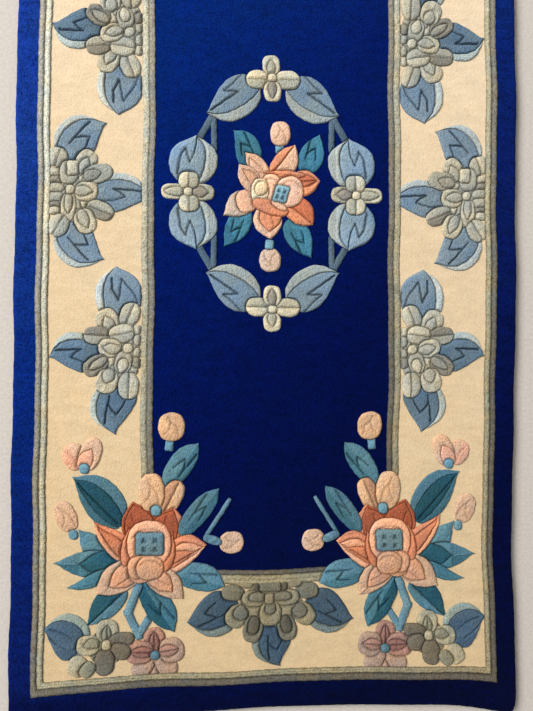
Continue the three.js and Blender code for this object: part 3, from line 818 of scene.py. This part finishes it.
CORNER_SPRAY = [
    ("block", -142, -357, -140, -340, 6.5, 6.5, "cup"),
    ("bud", -138, -343, -137.5, -302, 18.5, 18.5, "peach", "bud"),
    ("leaf", -147, -408, -100.5, -344, 20, 14, "teal_light|teal", "veins_turned"),
    ("round", -149, -444, -128, -396, 15, 15, "tan|peach", "middle"),
    ("round", -255, -379, -275, -346, 17, 16, "bud_coral|bud_pale", "fold"),
    ("round", -254.5, -383, -237, -337, 15, 15, "bud_pale"),
    ("on", "pointed", 0.0, 0.66, 0.9, 0.5, "bud_coral"),
    ("hook_left", -205, -459, -268.5, -389, 23, 33, "teal|teal_light"),
    ("on", "", 0.0, 0.95, 0.45, 0.55, "teal_dark", "middle"),
    ("round", -252.5, -387, -253, -371, 7.5, 7.5, "cup"),
    ("bud", -270, -462.5, -284.5, -421.5, 15, 15, "bud_pale", "bud"),
    ("slim", -208.5, -504.5, -262.5, -458.5, 26, 12, "teal_light"),
    ("slim", -203.5, -509.5, -294.5, -504, 20, 20, "teal|teal_light"),
    ("on", "slim", 0.0, 0.62, 0.8, 0.95, "teal_dark"),
    ("beak_right", -212, -520.5, -276.5, -537.5, 8, 16, "teal"),
    ("round", -268, -473.5, -268, -458.5, 7, 7, "cup"),
    ("round", -162, -500, -161.5, -441, 36, 36, "rust"),
    ("pointed", -174.5, -490, -190, -425, 24, 24, "rust"),
    ("on", "", 0.0, 0.93, 0.8, 1.0, "rust", "fold"),
    ("pointed", -148.5, -490, -134, -433, 24, 25, "rust|coral"),
    ("on", "", 0.0, 0.93, 1.0, 0.6, "rust", "fold"),
    ("bud", -163.5, -440, -167, -386, 18, 18, "peach", "bud"),
    ("round", -158, -447, -158, -430, 8, 8, "cup"),
    ("leaf", -124, -473, -74.5, -406, 17, 14, "teal_light|teal", "veins"),
    ("band", -91.5, -476, -59.5, -421, 3.8, 3.8, "stem"),
    ("bud", -72.5, -483, -39, -483, 16, 16, "bud_pale", "bud"),
    ("round", -94.5, -474, -68.5, -484, 7, 7, "stem"),
    ("leaf", -133, -526, -64, -543, 24, 16, "teal_light|teal", "veins"),
    ("beak_right", -198.5, -508.5, -241.5, -447.5, 8, 33, "salmon|coral"),
    ("on", "", 0.05, 0.88, 0.15, 0.62, "clay", "fold"),
    ("full", -152, -521, -88, -485, 29, 14, "coral|ring"),
    ("on", "pointed", 0.25, 0.9, 0.7, 0.3, "salmon", "middle"),
    ("on", "pointed", 0.0, 0.72, 0.5, 0.35, "clay", "middle"),
    ("slim", -194.5, -543.5, -249, -592, 15, 24, "teal_light|teal_dark", "middle"),
    ("band", -161.5, -577.5, -183, -609, 6, 6, "stem"),
    ("leaf", -174.5, -533.5, -133, -606, 21, 18, "teal|teal_dark", "veins"),
    ("band", -178, -535.5, -195, -580, 6.5, 6.5, "stem"),
    ("band", -196, -569, -177.5, -613, 6.5, 6.5, "stem"),
    ("pointed", -176.5, -517.5, -237, -548, 17, 27, "low_pale"),
    ("on", "pointed", 0.0, 0.7, 0.75, 0.72, "low", "fold"),
    ("pointed", -170.5, -522, -120, -560, 24, 14, "low_pale"),
    ("on", "pointed", 0.0, 0.72, 0.7, 0.7, "low", "fold"),
    ("slim", -199.5, -512.5, -193.5, -460, 9, 9, "coral"),
    ("slim", -146, -522, -134, -470, 10, 10, "clay"),
    ("round", -166.5, -514, -167, -451, 31, 31, "ring", "crescent"),
    ("eye", -166, -500, -166, -467, 20, 20, "eye", "seeds"),
    ("round", -177, -536.5, -176.5, -498, 18, 18, "low"),
    ("round", -179, -530.5, -184.5, -499, 14, 13, "oval"),
    ("bud", -165.5, -532.5, -165, -499, 19, 19, "oval", "crescent"),
    ("round", -176, -652.5, -148.5, -653, 20, 14, "mauve_pale"),
    ("round", -163.5, -633, -185, -664, 14, 14, "mauve_pale"),
    ("round", -154.5, -633, -134.5, -665, 14, 14, "mauve_pale"),
    ("round", -159.5, -635, -160, -596, 15.5, 15.5, "mauve"),
    ("on", "pointed", 0.0, 0.85, 0.5, 0.5, "mauve_dark", "middle"),
    ("round", -160.5, -632, -200, -627.5, 17, 17, "mauve"),
    ("on", "pointed", 0.0, 0.8, 0.5, 0.5, "mauve_dark", "middle"),
    ("round", -154.5, -632, -120, -627, 18, 18, "mauve_pale"),
    ("on", "pointed", 0.0, 0.8, 0.5, 0.5, "mauve", "middle"),
    ("round", -166.5, -635.5, -152.5, -636, 7, 7, "dot"),
    ("beak_left", -243.5, -611.5, -306.5, -592.5, 42, 27, "margin"),
    ("on", "", 0.12, 1.0, 1.0, 0.6, "blade", "streaks"),
    ("round", -245.5, -617.5, -198, -622.5, 24, 24, "sage"),
    ("round", -220.5, -614, -221, -581.5, 16, 16, "cream"),
    ("on", "pointed", 0.0, 0.75, 0.5, 0.4, "sage", "middle"),
    ("round", -220, -613, -185, -608.5, 11, 11, "stone"),
    ("round", -217.5, -622, -190.5, -631.5, 12, 12, "stone"),
    ("round", -223, -622, -225.5, -659, 14, 14, "stone"),
    ("round", -230, -616, -261.5, -617, 14.5, 14.5, "cream"),
    ("on", "pointed", 0.0, 0.7, 0.4, 0.7, "sage"),
    ("round", -250, -631, -267, -655.5, 14.5, 14.5, "cream"),
    ("round", -237.5, -639, -253.5, -658, 10, 10, "sage"),
    ("round", -229, -617, -215, -617, 7.5, 7.5, "cream"),
]
CORNER_LIMITS = [("x", 1, -303.0), ("y", 1, -661.0)]
flowers += spray("corner_spray", CORNER_SPRAY, CORNER_LIMITS, CORNER_DYES, QUARTERS, (), SOFT_PAINTED_GROOVE_SHADE)

# The two double lines: ridges of pile side by side with a cut groove between them, a pale one towards
# the cream and a darker one towards the blue. The inner one is cut away where a corner flower crosses it.
LINE_RISE = 2.1
LINE_FOOT = 13.4
LINE_REACH = 4.4
LINE_SHADE_REACH = 3.0
LINE_CELL = 3.2
CROSSING_REACH = 2.5
RIDGE_EDGE = (0.4, 1.2, 2.6)
RIDGE_STEPS = 10
CREASE = 0.8


def ridges(widths):
    """Places across a double line, as insets from its outer edge, with a groove where two ridges meet."""
    insets = [0.0]
    for width in widths:
        start = insets[-1]
        middle = [width / 2 - CREASE, width / 2, width / 2 + CREASE]
        far_edge = [width - step for step in reversed(RIDGE_EDGE)]
        insets += [start + step for step in (*RIDGE_EDGE, *middle, *far_edge, width)]
    return insets


def double_line(name, half_width, half_length, side_widths, end_widths, creased, materials, crossing):
    """Two ridges side by side round the rug. At the ends the step that is creased has a line cut in it."""
    side_insets = ridges(side_widths)
    end_insets = ridges(end_widths)
    counts = [math.ceil(2 * half / LINE_CELL) for half in (half_length, half_width)] * 2
    path = [(side, 1 - 2 * step / count) for side, count in enumerate(counts) for step in range(count)]
    path.append((0, 1.0))
    bm = bmesh.new()
    pile = bm.verts.layers.float.new("pile")
    wide = len(side_insets) - 1
    long = len(path) - 1
    vertices = bmesh.ops.create_grid(bm, x_segments=wide, y_segments=long, size=1)["verts"]
    places_across = {}
    clearance = {}
    for vertex in vertices:
        across = round((vertex.co.x + 1) / 2 * wide)
        side, run = path[round((vertex.co.y + 1) / 2 * long)]
        reach_x = half_width - side_insets[across]
        reach_y = half_length - end_insets[across]
        corners = [(reach_x, -reach_y * run), (reach_x * run, reach_y), (-reach_x, reach_y * run),
                   (-reach_x * run, -reach_y)]
        x, y = corners[side]
        insets = side_insets if side % 2 == 0 else end_insets
        start = RIDGE_STEPS * min(across // RIDGE_STEPS, 1)
        depth = min(insets[across] - insets[start], insets[start + RIDGE_STEPS] - insets[across])
        if side % 2 == 1 and across == creased:
            depth = CREASE
        foot = SUNK_HEIGHT if across in (0, wide) else LINE_FOOT
        share = math.sqrt(1 - (1 - min(depth / LINE_REACH, 1)) ** 2)
        height = foot + (GROUND_HEIGHT + LINE_RISE - foot) * share
        vertex.co = (x, y, height)
        # Painted shade: the pile attribute darkens the ridges towards their edges, where they meet and
        # along the creased step.
        vertex[pile] = min(1.0, depth / LINE_SHADE_REACH) ** 0.7
        places_across[vertex] = across
    if crossing:
        x = np.array([-abs(vertex.co.x) for vertex in vertices])
        y = np.array([-abs(vertex.co.y) for vertex in vertices])
        clear = np.full(len(x), FAR_OFF)
        for form in crossing:
            clear = np.minimum(clear, -form.depth(x, y))
        for i, vertex in enumerate(vertices):
            rise = float(shoulder(clear[i], CROSSING_REACH))
            vertex.co.z = min(vertex.co.z, APRON_HEIGHT + (vertex.co.z - APRON_HEIGHT) * rise)
            # Painted shade where a corner flower crosses the line.
            vertex[pile] = min(vertex[pile], rise)
            clearance[vertex] = clear[i]
    hidden = []
    for face in bm.faces:
        face.smooth = True
        middle = sum(places_across[vertex] for vertex in face.verts) / 4
        face.material_index = 0 if middle < RIDGE_STEPS else 1
        if crossing and max(clearance[vertex] for vertex in face.verts) < -HIDDEN_DEPTH:
            hidden.append(face)
    bmesh.ops.remove_doubles(bm, verts=vertices, dist=0.01)
    bmesh.ops.delete(bm, geom=hidden, context="FACES")
    border = [edge for edge in bm.edges if edge.is_boundary]
    for edge in border:
        for vertex in edge.verts:
            vertex.co.z = SUNK_HEIGHT
    if crossing:
        closed = bmesh.ops.holes_fill(bm, edges=border, sides=0)["faces"]
    else:
        closed = bmesh.ops.bridge_loops(bm, edges=border)["faces"]
    for face in closed:
        face.normal_update()
        if face.normal.z > 0:
            face.normal_flip()
    bmesh.ops.recalc_face_normals(bm, faces=bm.faces)
    piece = finished(name, bm, materials)
    bm.free()
    return piece


# Like the ground wools, each line wool is given from dark to pale and spread over the rug as painted
# light and shade.
DARK_LINE = [dyed(104, 97, 87), dyed(112, 106, 94), dyed(148, 143, 129), dyed(178, 174, 162)]
PALE_LINE = [dyed(164, 152, 124), dyed(170, 160, 130), dyed(196, 189, 163), dyed(230, 226, 204)]
outer_wools = [
    wool("outer_line_grey_wool", DARK_LINE, 0.3, 0.7),
    wool("outer_line_pale_wool", PALE_LINE, 0.3, 0.7),
]
inner_wools = [
    wool("inner_line_pale_wool", PALE_LINE, 0.3, 0.7),
    wool("inner_line_grey_wool", DARK_LINE, 0.3, 0.7),
]
corner_forms = expanded(CORNER_SPRAY)
outer_crease = RIDGE_STEPS + 5
inner_crease = 5
flowers.append(double_line(
    "outer_line", 320.0, 679.0, (8.5, 8.5), (10.0, 8.5), outer_crease, outer_wools, []))
flowers.append(double_line(
    "inner_line", 180.0, 541.0, (9.0, 8.5), (13.0, 7.0), inner_crease, inner_wools, corner_forms))

# The floor: plain and pale, with a fine speckle, and level. The rug lies flat on it and isn't fixed, so
# the floor is the stage and no part of the rug.
FLOOR_REACH = 6
bm = bmesh.new()
bmesh.ops.create_grid(bm, x_segments=2, y_segments=2, size=FLOOR_REACH)
floor_mesh = bpy.data.meshes.new("floor")
bm.to_mesh(floor_mesh)
bm.free()
floor = bpy.data.objects.new("floor", floor_mesh)
bpy.context.scene.collection.objects.link(floor)
shader = Shader("floor_felt")
place = shader.node("ShaderNodeTexCoord", {}, {}, "Object")
speckle = shader.node("ShaderNodeTexNoise", {}, {"Vector": place, "Scale": 260.0, "Detail": 3.0})
scaled = {0: dyed(204, 196, 187)[:3], "Scale": 0.8 + 0.4 * speckle}
colour = shader.node("ShaderNodeVectorMath", {"operation": "SCALE"}, scaled)
shader.fill(shader.surface, {"Base Color": colour, "Roughness": 0.95, "Specular IOR Level": 0.1})
floor_mesh.materials.append(shader.material)

# Soft studio light: a large lamp from the upper left of the picture, far beyond the rug's edge, and a
# pale room all round.
world = bpy.data.worlds.new("room")
bpy.context.scene.world = world
world.use_nodes = True
room = world.node_tree.nodes["Background"]
room.inputs["Color"].default_value = (0.97, 0.985, 1.0, 1.0)
room.inputs["Strength"].default_value = 0.36
lamp = bpy.data.lights.new("window", "AREA")
lamp.shape = "RECTANGLE"
lamp.size = 2.6
lamp.size_y = 2.6
lamp.energy = 555.0
lamp.color = (1.0, 0.985, 0.96)
window = bpy.data.objects.new("window", lamp)
window.location = (-4.3, 2.6, 4.0)
window.rotation_euler = (-window.location).to_track_quat("-Z", "Y").to_euler()
bpy.context.scene.collection.objects.link(window)

# The camera: a phone's wide lens held over the near half of the rug, turned a little to the right, as
# the photograph was taken.
camera_data = bpy.data.cameras.new("camera")
camera_data.lens = 26.0
camera_data.sensor_width = 36.0
camera = bpy.data.objects.new("camera", camera_data)
camera.location = (-0.0485, -0.2171, 0.7246)
camera.rotation_euler = (0.0, -math.radians(3.53), 0.0)
bpy.context.scene.collection.objects.link(camera)
bpy.context.scene.camera = camera
bpy.context.scene.view_settings.view_transform = "Standard"
